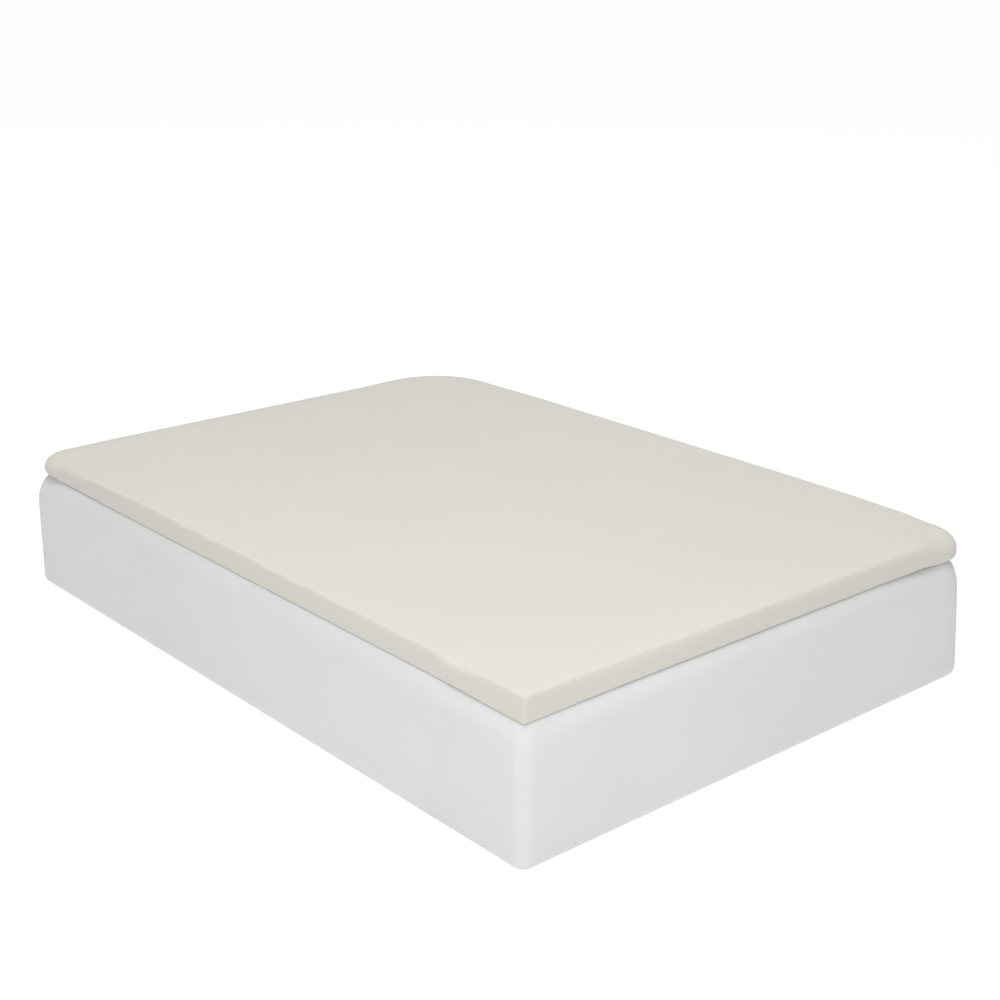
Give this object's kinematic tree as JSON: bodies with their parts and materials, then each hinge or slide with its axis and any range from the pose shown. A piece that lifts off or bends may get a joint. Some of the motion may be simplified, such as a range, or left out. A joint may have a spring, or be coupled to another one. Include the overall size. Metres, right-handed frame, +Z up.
{
  "type": "fitted sheet on a mattress topper and mattress",
  "caption": "Smooth cream fitted sheet pulled over a thin topper and tucked in below it, lying on a plain white mattress with soft edges.",
  "frame": {"origin": "on the floor under the middle of the mattress", "axes": "+X across the width, away from the near long side; +Y along the length, from the foot end to the head end; +Z up"},
  "size_m": [1.3941, 1.9282, 0.3523],
  "materials": {
    "sheet_cloth": "cream fine plain-weave cotton, smooth and matt",
    "topper_foam": "pale foam, matt, hidden in the sheet",
    "mattress_cover": "white stretch knit cover, matt with a faint sheen"
  },
  "bodies": {
    "root": {"fitted_sheet": "sheet_cloth", "topper": "topper_foam", "mattress": "mattress_cover"}
  },
  "joints": []
}
